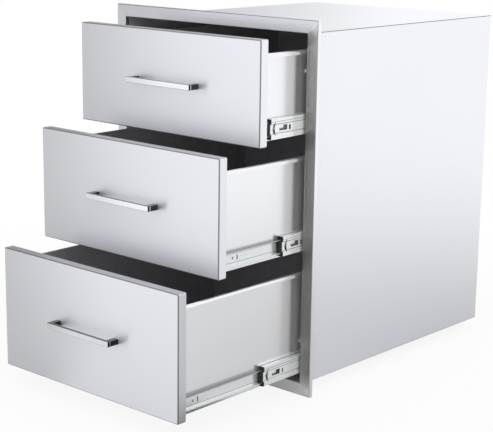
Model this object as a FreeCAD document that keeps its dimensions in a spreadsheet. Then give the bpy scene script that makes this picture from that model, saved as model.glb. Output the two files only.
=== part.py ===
"""Built-in outdoor kitchen drawer unit: a flanged steel housing with three drawers on ball-bearing slides.

X runs across, Y runs back into the housing and Z is up. The origin is the middle of the flange's bottom edge,
on the plane of the flange's back face. The drawers stand open by the amounts in the sheet.
"""
import FreeCAD
import Part
import Sketcher
import math
import os

Vector = FreeCAD.Vector

# Driving dimensions, in millimetres
SIZES = {
    # Face frame
    "frame_width": 504.0,
    "frame_height": 686.0,
    "frame_depth": 8.5,
    "frame_sheet": 1.2,
    "rail_width": 24.0,
    "back_lip": 10.0,
    "frame_bend": 1.6,
    # Housing
    "housing_sheet": 1.0,
    "housing_length": 581.5,
    "housing_bottom_z": 19.5,
    "housing_fold": 12.0,
    "screw_hole_radius": 2.5,
    "screw_hole_back": 20.0,
    "screw_hole_spread": 500.0,
    "screw_hole_inner_spread": 200.0,
    # Drawer fronts, from the top drawer down
    "front_width": 450.0,
    "front_depth": 18.5,
    "front_sheet": 1.2,
    "front_bend": 2.2,
    "front_corner": 2.8,
    "front_height_1": 185.0,
    "front_height_2": 209.0,
    "front_height_3": 227.0,
    "gap_top": 3.4,
    "gap_between": 4.2,
    "backing_sheet": 1.0,
    # How far each drawer, and the middle members of its slides, stand out
    "opened_1": 118.0,
    "opened_2": 218.0,
    "opened_3": 314.0,
    "middle_out_1": 118.0,
    "middle_out_2": 80.5,
    "middle_out_3": 125.5,
    # Drawer boxes
    "box_sheet": 1.0,
    "box_length": 540.0,
    "box_above_front_bottom": 10.0,
    "box_below_front_top": 25.0,
    "box_fold": 12.0,
    "hem_width": 6.0,
    "hem_height": 8.0,
    "hem_radius": 4.8,
    "hem_lip_radius": 1.0,
    "back_wall_drop": 4.0,
    # Slides
    "slide_rise": 30.0,
    "slide_thick": 12.7,
    "slide_sheet": 1.2,
    "slide_length": 550.0,
    "slide_front": 21.0,
    "inner_front": 10.5,
    "inner_length": 545.0,
    "middle_length": 545.0,
    "outer_half": 22.8,
    "middle_half": 17.7,
    "inner_half": 12.7,
    "outer_arm": 10.5,
    "middle_web_gap": 2.4,
    "middle_arm_gap": 1.3,
    "inner_arm_gap": 5.0,
    "groove_height": 8.0,
    "groove_half": 1.0,
    "groove_cut": 0.8,
    "tongue_length": 3.0,
    "tongue_half": 9.0,
    "bumper_length": 9.5,
    "bumper_plate": 2.0,
    "bumper_web": 4.0,
    "bumper_block_half": 11.0,
    "bumper_block_clear": 2.1,
    "bumper_bar_inside": 14.0,
    # Openings near the front end of the middle members, measured back from that end
    "crescent_front": 3.2,
    "crescent_middle": 9.0,
    "crescent_tip": 12.2,
    "crescent_half": 11.5,
    "long_slot_front": 21.0,
    "long_slot_step": 31.5,
    "long_slot_back": 42.0,
    "long_slot_low": 4.0,
    "long_slot_rise": 0.8,
    "long_slot_high": 5.6,
    "short_slot_front": 46.8,
    "short_slot_back": 51.6,
    "short_slot_half": 4.3,
    # Marks near the front end of the inner members
    "inner_slot_front": 35.0,
    "inner_slot_back": 38.0,
    "inner_slot_half": 4.5,
    "stud_first": 49.5,
    "stud_step": 9.0,
    "stud_radius": 1.4,
    "stud_height": 0.5,
    # Ball cages
    "ball_radius": 1.6,
    "pocket_radius": 1.8,
    "ball_count": 6,
    "cage_sheet": 0.4,
    "cage_arm_half": 0.4,
    "cage_length": 250.0,
    "cage_front": 142.5,
    "cage_margin": 12.5,
    "outer_cage_gap": 1.6,
    "outer_cage_reach": 9.8,
    "outer_ball_in": 6.5,
    "outer_ball_row": 19.65,
    "inner_cage_gap": 4.0,
    "inner_cage_reach": 11.0,
    "inner_ball_in": 8.0,
    "inner_ball_row": 14.6,
    # Handles
    "handle_length": 160.0,
    "handle_reach": 24.0,
    "handle_bar": 5.5,
    "handle_square": 10.0,
    "handle_edge": 0.5,
    "handle_line_deep": 1.4,
    "handle_line_wide": 0.9,
    # Screws
    "handle_screw_radius": 2.0,
    "handle_hole_radius": 2.2,
    "handle_screw_depth": 12.0,
    "handle_head_radius": 4.0,
    "handle_head_height": 2.2,
    "slide_screw_radius": 1.7,
    "slide_hole_radius": 1.85,
    "slide_screw_past": 2.0,
    "slide_head_radius": 3.0,
    "slide_head_height": 1.6,
    "slide_screw_first": 27.5,
    "slide_screw_step": 238.0,
    "slide_screw_count": 3,
}

DRAWERS = (1, 2, 3)

doc = FreeCAD.newDocument("drawer_unit")
sheet = doc.addObject("Spreadsheet::Sheet", "sizes")
for row, (alias, value) in enumerate(SIZES.items(), start=1):
    sheet.set(f"A{row}", alias)
    sheet.set(f"B{row}", str(value))
    sheet.setAlias(f"B{row}", alias)
doc.recompute()

nodes = {}


def size(alias):
    """The value of one cell of the sheet."""
    return float(sheet.get(alias))


def cell(alias):
    """The name of one cell inside an expression."""
    return f"sizes.{alias}"


def bind(thing, values):
    """Ties properties of an object to expressions."""
    for name, text in values.items():
        thing.setExpression(name, text)


def place(thing, across="0", back="0", up="0"):
    """Ties the position of an object to expressions."""
    bind(thing, {"Placement.Base.x": across, "Placement.Base.y": back, "Placement.Base.z": up})


def keep(node, thing):
    """Names a finished sub-part."""
    thing.Label = node
    nodes[node] = thing
    return thing


def outline(body, name, role, corners):
    """A closed sketch of straight edges whose corners are tied to expressions."""
    sketch = body.newObject("Sketcher::SketchObject", name)
    plane = next(feature for feature in body.Origin.OriginFeatures if feature.Role == role)
    sketch.AttachmentSupport = [(plane, "")]
    sketch.MapMode = "FlatFace"
    count = len(corners)
    rough_radius = 100.0
    rough = []
    for number in range(count):
        turn = 2 * math.pi * number / count
        rough.append(Vector(rough_radius * math.cos(turn), rough_radius * math.sin(turn), 0))
    for number in range(count):
        sketch.addGeometry(Part.LineSegment(rough[number], rough[(number + 1) % count]))
    for number in range(count):
        sketch.addConstraint(Sketcher.Constraint("Coincident", number, 2, (number + 1) % count, 1))
    for number, (across, up) in enumerate(corners):
        at = rough[number]
        along = sketch.addConstraint(Sketcher.Constraint("DistanceX", -1, 1, number, 1, at.x))
        above = sketch.addConstraint(Sketcher.Constraint("DistanceY", -1, 1, number, 1, at.y))
        bind(sketch, {f"Constraints[{along}]": across, f"Constraints[{above}]": up})
    return sketch


def circle(body, name, role, radius, across, up):
    """A sketch of one circle whose centre and radius are tied to expressions."""
    sketch = body.newObject("Sketcher::SketchObject", name)
    plane = next(feature for feature in body.Origin.OriginFeatures if feature.Role == role)
    sketch.AttachmentSupport = [(plane, "")]
    sketch.MapMode = "FlatFace"
    sketch.addGeometry(Part.Circle(Vector(10, 10, 0), Vector(0, 0, 1), 1))
    span = sketch.addConstraint(Sketcher.Constraint("Radius", 0, 1))
    along = sketch.addConstraint(Sketcher.Constraint("DistanceX", -1, 1, 0, 3, 10))
    above = sketch.addConstraint(Sketcher.Constraint("DistanceY", -1, 1, 0, 3, 10))
    bind(sketch, {f"Constraints[{span}]": radius, f"Constraints[{along}]": across, f"Constraints[{above}]": up})
    return sketch


def bar(name, role, corners, length):
    """A body made by padding an outline: along +X, +Y or +Z for the YZ, XZ or XY plane."""
    body = doc.addObject("PartDesign::Body", name)
    sketch = outline(body, name + "_outline", role, corners)
    pad = body.newObject("PartDesign::Pad", name + "_pad")
    pad.Profile = sketch
    pad.Reversed = role == "XZ_Plane"
    bind(pad, {"Length": length})
    doc.recompute()
    return body


def pocket_through(body, name, sketch):
    """Cuts a sketch right through a body, both ways from the sketch's plane."""
    pocket = body.newObject("PartDesign::Pocket", name)
    pocket.Profile = sketch
    pocket.Type = "ThroughAll"
    pocket.Midplane = True
    doc.recompute()
    return pocket


def cut_through(body, name, role, corners):
    """Cuts an outline of straight edges right through a body."""
    return pocket_through(body, name, outline(body, name + "_outline", role, corners))


def edges_where(shape, test):
    """The names of the straight edges that pass a test of their two end points."""
    names = []
    for number, edge in enumerate(shape.Edges, start=1):
        if len(edge.Vertexes) == 2 and test(edge.Vertexes[0].Point, edge.Vertexes[1].Point):
            names.append(f"Edge{number}")
    return names


def round_edges(body, name, radius, test):
    """Rounds the edges of a body that pass a test, as a bend in sheet metal."""
    base = body.Tip
    fillet = body.newObject("PartDesign::Fillet", name)
    fillet.Base = (base, edges_where(base.Shape, test))
    bind(fillet, {"Radius": radius})
    doc.recompute()
    return fillet


def box(name, corner, lengths):
    """A rectangular block tied to expressions for its low corner and its three lengths."""
    block = doc.addObject("Part::Box", name)
    bind(block, dict(zip(("Length", "Width", "Height"), lengths)))
    place(block, *corner)
    return block


def drill(name, axis, radius, length, position):
    """A cylinder for a hole, starting at a position and running along one axis."""
    tool = doc.addObject("Part::Cylinder", name)
    bind(tool, {"Radius": radius, "Height": length})
    place(tool, *position)
    turns = {"X": (Vector(0, 1, 0), 90), "Y": (Vector(1, 0, 0), -90), "Z": (Vector(0, 0, 1), 0)}
    tool.Placement.Rotation = FreeCAD.Rotation(*turns[axis])
    return tool


def cut(name, base, tools):
    """Cuts a group of tools out of a base."""
    group = doc.addObject("Part::Compound", name + "_tools")
    group.Links = tools
    result = doc.addObject("Part::Cut", name)
    result.Base = base
    result.Tool = group
    return result


def mirrored(name, source):
    """The left-hand copy of a right-hand piece."""
    copy = doc.addObject("Part::Mirroring", name)
    copy.Source = source
    copy.Normal = Vector(1, 0, 0)
    return copy


def pair(name, right):
    """A right-hand piece and its left-hand copy as one group."""
    group = doc.addObject("Part::Compound", name)
    group.Links = [right, mirrored(name + "_left_copy", right)]
    return group


# Lengths that several pieces share
half_frame = f"{cell('frame_width')} / 2"
half_opening = f"({cell('frame_width')} / 2 - {cell('rail_width')})"
opening_top = f"({cell('frame_height')} - {cell('rail_width')})"
housing_outer = f"({half_opening} + {cell('housing_sheet')})"
housing_top_z = f"({opening_top} + {cell('housing_sheet')})"
half_front = f"({cell('front_width')} / 2)"
box_outer = f"({half_opening} - {cell('slide_thick')})"
box_inner = f"({box_outer} - {cell('box_sheet')})"
front_back = f"({cell('front_depth')} - {cell('frame_depth')})"


def front_bottom(number):
    """Height of a drawer front's bottom edge."""
    lowered = " - ".join(cell(f"front_height_{above}") for above in range(1, number + 1))
    gaps = f"{number - 1} * {cell('gap_between')}"
    return f"({opening_top} - {cell('gap_top')} - {gaps} - {lowered})"


def front_top(number):
    """Height of a drawer front's top edge."""
    return f"({front_bottom(number)} + {cell(f'front_height_{number}')})"


def slide_height(number):
    """Height of the middle line of a drawer's slides."""
    return f"({front_bottom(number)} + {cell('slide_rise')})"


def opened(number):
    """How far a drawer stands out."""
    return cell(f"opened_{number}")


def middle_out(number):
    """How far the middle members of a drawer's slides stand out."""
    return cell(f"middle_out_{number}")


# Face frame: folded channels with a return on both edges and a lip that seats on the island
def rail_section(sign):
    """Section of a rail: the first value runs outwards from the opening's edge, the second runs back."""
    wide = cell("rail_width")
    thin = cell("frame_sheet")
    deep = cell("frame_depth")
    lip = cell("back_lip")
    section = (
        ("0", f"-{deep}"),
        (wide, f"-{deep}"),
        (wide, "0"),
        (f"{wide} - {lip}", "0"),
        (f"{wide} - {lip}", f"-{thin}"),
        (f"{wide} - {thin}", f"-{thin}"),
        (f"{wide} - {thin}", f"{thin} - {deep}"),
        (thin, f"{thin} - {deep}"),
        (thin, "0"),
        ("0", "0"),
    )
    return [(f"{sign} * ({out})", back) for out, back in section]


def frame_rail(node, role, sign, length, position, mitres):
    """One rail, with its two ends mitred."""
    section = rail_section(sign)
    if role == "YZ_Plane":
        section = [(back, out) for out, back in section]
    rail = bar(node, role, section, length)
    front = -size("frame_depth")
    rail_long = size("frame_width") if role == "YZ_Plane" else size("frame_height")
    round_edges(rail, node + "_bends", cell("frame_bend"),
                lambda a, b: abs(a.y - front) < 0.01 and abs(b.y - front) < 0.01
                and abs((a - b).Length - rail_long) < 0.01)
    for number, corners in enumerate(mitres, start=1):
        cut_through(rail, f"{node}_mitre_{number}", "XZ_Plane", corners)
    place(rail, *position)
    keep(node, rail)


wide = cell("rail_width")
width = cell("frame_width")
height = cell("frame_height")
frame_rail("frame_top_rail", "YZ_Plane", 1, width, (f"-{half_frame}", "0", opening_top),
           [[("0", "0"), (wide, "0"), ("0", wide)],
            [(width, "0"), (f"{width} - {wide}", "0"), (width, wide)]])
frame_rail("frame_bottom_rail", "YZ_Plane", -1, width, (f"-{half_frame}", "0", wide),
           [[("0", "0"), (wide, "0"), ("0", f"-{wide}")],
            [(width, "0"), (f"{width} - {wide}", "0"), (width, f"-{wide}")]])
frame_rail("frame_left_stile", "XY_Plane", -1, height, (f"-{half_opening}", "0", "0"),
           [[("0", "0"), (f"-{wide}", "0"), ("0", wide)],
            [("0", height), (f"-{wide}", height), ("0", f"{height} - {wide}")]])
frame_rail("frame_right_stile", "XY_Plane", 1, height, (half_opening, "0", "0"),
           [[("0", "0"), (wide, "0"), ("0", wide)],
            [("0", height), (wide, height), ("0", f"{height} - {wide}")]])


# Housing: two folded sides, a top, a bottom with an upturned front edge, and a back
def housing():
    """The five sheets of the housing."""
    thin = cell("housing_sheet")
    low = f"({cell('housing_bottom_z')} + {thin})"
    high = opening_top
    fold = cell("housing_fold")
    side_length = f"{cell('housing_length')} - {thin}"
    section = [
        (housing_outer, low),
        (housing_outer, high),
        (f"{housing_outer} - {fold}", high),
        (f"{housing_outer} - {fold}", f"{high} - {thin}"),
        (half_opening, f"{high} - {thin}"),
        (half_opening, f"{low} + {thin}"),
        (f"{housing_outer} - {fold}", f"{low} + {thin}"),
        (f"{housing_outer} - {fold}", low),
    ]
    side = bar("housing_side_sheet", "XZ_Plane", section, side_length)
    outer_x = size("frame_width") / 2 - size("rail_width") + size("housing_sheet")
    round_edges(side, "housing_side_bends", f"{thin} * 0.9",
                lambda a, b: abs(a.x - outer_x) < 0.01 and abs(b.x - outer_x) < 0.01 and abs(a.y - b.y) > 1)
    middle = f"{height} / 2"
    holes = []
    for name, spread in (("outer", cell("screw_hole_spread")), ("inner", cell("screw_hole_inner_spread"))):
        for sign in ("-", "+"):
            position = (f"{half_opening} - {thin}", cell("screw_hole_back"), f"{middle} {sign} {spread} / 2")
            tool_name = f"housing_hole_{name}_{'low' if sign == '-' else 'high'}"
            holes.append(drill(tool_name, "X", cell("screw_hole_radius"), f"3 * {thin}", position))
    right = keep("housing_right_side", cut("housing_right_side", side, holes))
    keep("housing_left_side", mirrored("housing_left_side", right))
    keep("housing_top", box("housing_top", (f"-{housing_outer}", "0", opening_top),
                            (f"2 * {housing_outer}", side_length, thin)))
    floor_z = cell("housing_bottom_z")
    floor_section = [
        ("0", floor_z),
        (side_length, floor_z),
        (side_length, low),
        (thin, low),
        (thin, cell("rail_width")),
        ("0", cell("rail_width")),
    ]
    floor = bar("housing_floor_sheet", "YZ_Plane", floor_section, f"2 * {half_opening} - 2 * {fold}")
    place(floor, f"-{half_opening} + {fold}")
    plate = box("housing_floor_plate", (f"-{housing_outer}", "0", floor_z),
                (f"2 * {housing_outer}", side_length, thin))
    whole = doc.addObject("Part::Fuse", "housing_bottom")
    whole.Base = plate
    whole.Tool = floor
    whole.Refine = True
    keep("housing_bottom", whole)
    keep("housing_back", box("housing_back", (f"-{housing_outer}", side_length, floor_z),
                             (f"2 * {housing_outer}", thin, f"{housing_top_z} - {floor_z}")))


housing()


# Drawer fronts: a folded pan closed by a backing plate
def drawer_front(number):
    """The pan, its backing plate and the holes for the handle's screws."""
    thin = cell("front_sheet")
    low = front_bottom(number)
    tall = cell(f"front_height_{number}")
    deep = cell("front_depth")
    name = f"front_pan_{number}"
    full = [
        (f"-{half_front}", "0"),
        (half_front, "0"),
        (half_front, tall),
        (f"-{half_front}", tall),
    ]
    hollow = [
        (f"{thin} - {half_front}", thin),
        (f"{half_front} - {thin}", thin),
        (f"{half_front} - {thin}", f"{tall} - {thin}"),
        (f"{thin} - {half_front}", f"{tall} - {thin}"),
    ]
    pan = bar(name + "_sheet", "XZ_Plane", full, deep)
    round_edges(pan, name + "_corners", cell("front_corner"), lambda a, b: abs(a.y - b.y) > 1)
    round_edges(pan, name + "_bends", cell("front_bend"),
                lambda a, b: a.y < 0.01 and b.y < 0.01)
    inside = outline(pan, name + "_inside_outline", "XZ_Plane", hollow)
    bind(inside, {"AttachmentOffset.Base.z": f"-{deep}"})
    pocket = pan.newObject("PartDesign::Pocket", name + "_inside")
    pocket.Profile = inside
    pocket.Reversed = True
    bind(pocket, {"Length": f"{deep} - {thin}"})
    place(pan, "0", f"-{cell('frame_depth')} - {opened(number)}", low)
    plate_thick = cell("backing_sheet")
    back_y = f"({front_back} - {opened(number)} - {plate_thick})"
    plate = box(f"backing_plate_{number}_sheet", (f"{thin} - {half_front}", back_y, f"{low} + {thin}"),
                (f"2 * {half_front} - 2 * {thin}", plate_thick, f"{tall} - 2 * {thin}"))
    post_x = f"({cell('handle_length')} / 2 - {cell('handle_square')} / 2)"
    pan_holes = []
    plate_holes = []
    for side, sign in (("right", ""), ("left", "-")):
        across = f"{sign}{post_x}"
        up = f"{low} + {tall} / 2"
        start = f"-{cell('frame_depth')} - {opened(number)} - {thin}"
        pan_holes.append(drill(f"{name}_hole_{side}", "Y", cell("handle_hole_radius"), f"3 * {thin}",
                               (across, start, up)))
        plate_holes.append(drill(f"backing_hole_{number}_{side}", "Y", cell("handle_hole_radius"),
                                 f"3 * {plate_thick}", (across, f"{back_y} - {plate_thick}", up)))
    keep(name, cut(name, pan, pan_holes))
    keep(f"backing_plate_{number}", cut(f"backing_plate_{number}", plate, plate_holes))


# Drawer boxes: sides with a rolled top edge, a bottom and a back wall
def slide_screw_places():
    """Distances of the slide screws behind the front end of the inner member."""
    count = int(size("slide_screw_count"))
    return [f"({cell('slide_screw_first')} + {step} * {cell('slide_screw_step')})" for step in range(count)]


def drawer_box(number):
    """The two sides, the bottom and the back wall of one drawer."""
    thin = cell("box_sheet")
    low = f"({front_bottom(number)} + {cell('box_above_front_bottom')})"
    high = f"({front_top(number)} - {cell('box_below_front_top')})"
    tall = f"({high} - {low})"
    hem = cell("hem_width")
    fold = cell("box_fold")
    start = f"{front_back} - {opened(number)}"
    long = cell("box_length")
    section = [
        (box_inner, "0"),
        (box_inner, tall),
        (f"{box_inner} + {hem}", tall),
        (f"{box_inner} + {hem}", f"{tall} - {cell('hem_height')}"),
        (f"{box_inner} + {hem} - {thin}", f"{tall} - {cell('hem_height')}"),
        (f"{box_inner} + {hem} - {thin}", f"{tall} - {thin}"),
        (box_outer, f"{tall} - {thin}"),
        (box_outer, f"-{thin}"),
        (f"{box_inner} - {fold}", f"-{thin}"),
        (f"{box_inner} - {fold}", "0"),
    ]
    side = bar(f"drawer_side_{number}_sheet", "XZ_Plane", section, long)
    top = max(vertex.Point.z for vertex in side.Shape.Vertexes)
    roll_x = max(vertex.Point.x for vertex in side.Shape.Vertexes)
    roll_middle = roll_x - size("hem_width") / 2
    inner_top = top - size("box_sheet")
    round_edges(side, f"drawer_side_{number}_roll", cell("hem_radius"),
                lambda a, b: min(a.z, b.z) > top - 0.01 and min(a.x, b.x) > roll_x - 0.01)
    round_edges(side, f"drawer_side_{number}_roll_inside", f"{cell('hem_radius')} - {thin}",
                lambda a, b: abs(a.z - inner_top) < 0.01 and abs(b.z - inner_top) < 0.01
                and abs(a.y - b.y) > 1 and a.x > roll_middle)
    round_edges(side, f"drawer_side_{number}_lip", cell("hem_lip_radius"),
                lambda a, b: min(a.z, b.z) > top - 0.01 and abs(a.y - b.y) > 1 and a.x < roll_middle)
    place(side, "0", start, low)
    holes = []
    for index, back in enumerate(slide_screw_places(), start=1):
        position = (f"{box_inner} - {thin}", f"{start} + {cell('inner_front')} - {front_back} + {back}",
                    slide_height(number))
        holes.append(drill(f"drawer_side_{number}_hole_{index}", "X", cell("slide_hole_radius"),
                           f"3 * {thin}", position))
    right = keep(f"drawer_side_right_{number}", cut(f"drawer_side_right_{number}", side, holes))
    keep(f"drawer_side_left_{number}", mirrored(f"drawer_side_left_{number}", right))
    keep(f"drawer_bottom_{number}", box(f"drawer_bottom_{number}", (f"-{box_inner}", start, low),
                                        (f"2 * {box_inner}", long, thin)))
    wall_high = f"({tall} - {cell('back_wall_drop')})"
    wall_section = [
        (f"{long} - {thin}", thin),
        (long, thin),
        (long, f"{wall_high} - {thin}"),
        (f"{long} + {cell('hem_height')}", f"{wall_high} - {thin}"),
        (f"{long} + {cell('hem_height')}", wall_high),
        (f"{long} - {thin}", wall_high),
    ]
    wall = bar(f"drawer_back_{number}", "YZ_Plane", wall_section, f"2 * {box_inner}")
    place(wall, f"-{box_inner}", start, low)
    keep(f"drawer_back_{number}", wall)


# Handles: a square bar on two square posts, with a fine line where bar and post meet
def handle(number):
    """One handle, with a blind hole in each post for its screw."""
    name = f"handle_{number}"
    half = f"{cell('handle_length')} / 2"
    square = cell("handle_square")
    reach = cell("handle_reach")
    front_of_line = f"({cell('handle_bar')} - {reach})"
    back_of_line = f"({front_of_line} + {cell('handle_line_wide')})"
    notch = f"({half} - {cell('handle_line_deep')})"
    right_half = [
        (half, f"-{reach}"),
        (half, front_of_line),
        (notch, front_of_line),
        (notch, back_of_line),
        (half, back_of_line),
        (half, "0"),
        (f"{half} - {square}", "0"),
        (f"{half} - {square}", front_of_line),
    ]
    left_half = [(f"-({across})", back) for across, back in reversed(right_half)]
    solid = bar(name + "_bar", "XY_Plane", right_half + left_half, square)
    front_y = min(vertex.Point.y for vertex in solid.Shape.Vertexes)
    outer_x = max(vertex.Point.x for vertex in solid.Shape.Vertexes)
    edge = solid.newObject("PartDesign::Chamfer", name + "_edges")
    pad = doc.getObject(name + "_bar_pad")
    edge.Base = (pad, edges_where(pad.Shape, lambda a, b: abs(a.y - front_y) < 0.01 and abs(b.y - front_y) < 0.01
                                  or (abs(abs(a.x) - outer_x) < 0.01 and abs(abs(b.x) - outer_x) < 0.01
                                      and abs(a.z - b.z) < 0.01)))
    bind(edge, {"Size": cell("handle_edge")})
    place(solid, "0", f"-{cell('frame_depth')} - {opened(number)}",
          f"{front_bottom(number)} + {cell(f'front_height_{number}')} / 2 - {square} / 2")
    holes = []
    for side, sign in (("right", ""), ("left", "-")):
        position = (f"{sign}({half} - {square} / 2)",
                    f"-{cell('frame_depth')} - {opened(number)} - {cell('handle_screw_depth')} - 1",
                    f"{front_bottom(number)} + {cell(f'front_height_{number}')} / 2")
        holes.append(drill(f"{name}_hole_{side}", "Y", cell("handle_hole_radius"),
                           f"{cell('handle_screw_depth')} + 2", position))
    keep(name, cut(name, solid, holes))


# Slides, drawn for the right side with y = 0 at a member's front end and z = 0 on its middle line
def channel(name, outside, web_near, web_far, arm_end, half_height, thin, length):
    """A channel whose web stands between two X values and whose arms reach to a third."""
    arm = f"({half_height} - {thin})"
    near, far = (web_near, web_far) if outside else (web_far, web_near)
    corners = [
        (near, f"-{half_height}"),
        (near, half_height),
        (arm_end, half_height),
        (arm_end, arm),
        (far, arm),
        (far, f"-{arm}"),
        (arm_end, f"-{arm}"),
        (arm_end, f"-{half_height}"),
    ]
    return bar(name, "XZ_Plane", corners, length)


def outer_members(number):
    """The two members that stay on the housing."""
    thin = cell("slide_sheet")
    name = f"slide_outer_{number}"
    member = channel(name + "_right", True, half_opening, f"({half_opening} - {thin})",
                     f"({half_opening} - {cell('outer_arm')})", cell("outer_half"), thin, cell("slide_length"))
    place(member, "0", cell("slide_front"), slide_height(number))
    keep(name, pair(name, member))


def upright_slot(alias):
    """Outline of a slot that stands upright on the middle line."""
    half = cell(alias + "_half")
    front = cell(alias + "_front")
    back = cell(alias + "_back")
    return [(front, f"-{half}"), (back, f"-{half}"), (back, half), (front, half)]


def arc_end(sketch, curve, side):
    """Which end point of an arc, 1 or 2, lies on one side of the sketch's X axis."""
    return next(point for point in (1, 2) if sketch.getPoint(curve, point).y * side > 0)


def crescent(body, name, start):
    """A slot between two arcs that meet in an upper and a lower tip, on the YZ plane."""
    sketch = body.newObject("Sketcher::SketchObject", name + "_outline")
    plane = next(feature for feature in body.Origin.OriginFeatures if feature.Role == "YZ_Plane")
    sketch.AttachmentSupport = [(plane, "")]
    sketch.MapMode = "FlatFace"
    tip = size(start) + size("crescent_tip")
    half = size("crescent_half")
    for alias in ("crescent_front", "crescent_middle"):
        middle = size(start) + size(alias)
        sketch.addGeometry(Part.Arc(Vector(tip, -half, 0), Vector(middle, 0, 0), Vector(tip, half, 0)))
    for side in (1, -1):
        front_end = arc_end(sketch, 0, side)
        along = sketch.addConstraint(Sketcher.Constraint("DistanceX", -1, 1, 0, front_end, tip))
        above = sketch.addConstraint(Sketcher.Constraint("DistanceY", -1, 1, 0, front_end, side * half))
        bind(sketch, {f"Constraints[{along}]": f"{cell(start)} + {cell('crescent_tip')}",
                      f"Constraints[{above}]": f"{side} * {cell('crescent_half')}"})
        back_end = arc_end(sketch, 1, side)
        sketch.addConstraint(Sketcher.Constraint("Coincident", 0, front_end, 1, back_end))
    for curve, alias in enumerate(("crescent_front", "crescent_middle")):
        depth = f"({cell('crescent_tip')} - {cell(alias)})"
        radius = f"({depth} ^ 2 + {cell('crescent_half')} ^ 2) / (2 * {depth})"
        span = sketch.addConstraint(Sketcher.Constraint("Radius", curve, sketch.Geometry[curve].Radius))
        bind(sketch, {f"Constraints[{span}]": radius})
    return pocket_through(body, name, sketch)


def middle_members(number):
    """The two members that run between the others, with the slots near their front ends."""
    thin = cell("slide_sheet")
    half = cell("middle_half")
    near = f"({half_opening} - {cell('middle_web_gap')})"
    far = f"({near} - {thin})"
    arm_end = f"({box_outer} + {cell('middle_arm_gap')})"
    arm = f"({half} - {thin})"
    floor = f"({near} - {cell('groove_cut')})"
    wide_part = cell("groove_half")
    line = cell("groove_height")
    grooves = []
    for sign in ("-", ""):
        middle = f"{sign}{line}"
        grooves.append([(near, f"{middle} - {wide_part}"), (floor, middle), (near, f"{middle} + {wide_part}")])
    corners = [(near, f"-{half}")] + grooves[0] + grooves[1] + [
        (near, half),
        (arm_end, half),
        (arm_end, arm),
        (far, arm),
        (far, f"-{arm}"),
        (arm_end, f"-{arm}"),
        (arm_end, f"-{half}"),
    ]
    name = f"slide_middle_right_{number}"
    tongue = cell("tongue_length")
    member = bar(name, "XZ_Plane", corners, f"{cell('middle_length')} + {tongue}")
    for step_name, sign in (("upper", ""), ("lower", "-")):
        near_edge = f"{sign}{cell('tongue_half')}"
        far_edge = f"{sign}2 * {half}"
        beside = [("-1", near_edge), (tongue, near_edge), (tongue, far_edge), ("-1", far_edge)]
        cut_through(member, f"{name}_{step_name}_step", "YZ_Plane", beside)
    crescent(member, f"{name}_crescent", "tongue_length")
    low = f"-{cell('long_slot_low')}"
    long_slot = [
        (cell("long_slot_front"), low),
        (cell("long_slot_back"), low),
        (cell("long_slot_back"), cell("long_slot_high")),
        (cell("long_slot_step"), cell("long_slot_high")),
        (cell("long_slot_step"), cell("long_slot_rise")),
        (cell("long_slot_front"), cell("long_slot_rise")),
    ]
    for slot, slot_corners in (("long_slot", long_slot), ("short_slot", upright_slot("short_slot"))):
        shifted = [(f"{tongue} + {back}", up) for back, up in slot_corners]
        cut_through(member, f"{name}_{slot}", "YZ_Plane", shifted)
    place(member, "0", f"{cell('slide_front')} - {middle_out(number)} - {tongue}", slide_height(number))
    keep(name, member)
    keep(f"slide_middle_left_{number}", mirrored(f"slide_middle_left_{number}", member))


def inner_members(number):
    """The two members that are screwed to the drawer's sides."""
    thin = cell("slide_sheet")
    name = f"slide_inner_right_{number}"
    start = f"{cell('inner_front')} - {opened(number)}"
    member = channel(name + "_strip", False, f"({box_outer} + {thin})", box_outer,
                     f"({half_opening} - {cell('inner_arm_gap')})", cell("inner_half"), thin,
                     cell("inner_length"))
    cut_through(member, name + "_slot", "YZ_Plane", upright_slot("inner_slot"))
    place(member, "0", start, slide_height(number))
    holes = []
    for index, back in enumerate(slide_screw_places(), start=1):
        position = (f"{box_outer} - {thin}", f"{start} + {back}", slide_height(number))
        holes.append(drill(f"{name}_hole_{index}", "X", cell("slide_hole_radius"), f"3 * {thin}", position))
    drilled = cut(name + "_drilled", member, holes)
    studs = []
    for step in range(2):
        position = (f"{box_outer} + {thin} / 2", f"{start} + {cell('stud_first')} + {step} * {cell('stud_step')}",
                    slide_height(number))
        studs.append(drill(f"{name}_stud_{step + 1}", "X", cell("stud_radius"),
                           f"{thin} / 2 + {cell('stud_height')}", position))
    studded = doc.addObject("Part::MultiFuse", name)
    studded.Shapes = [drilled] + studs
    studded.Refine = True
    right = keep(name, studded)
    keep(f"slide_inner_left_{number}", mirrored(f"slide_inner_left_{number}", right))


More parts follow.
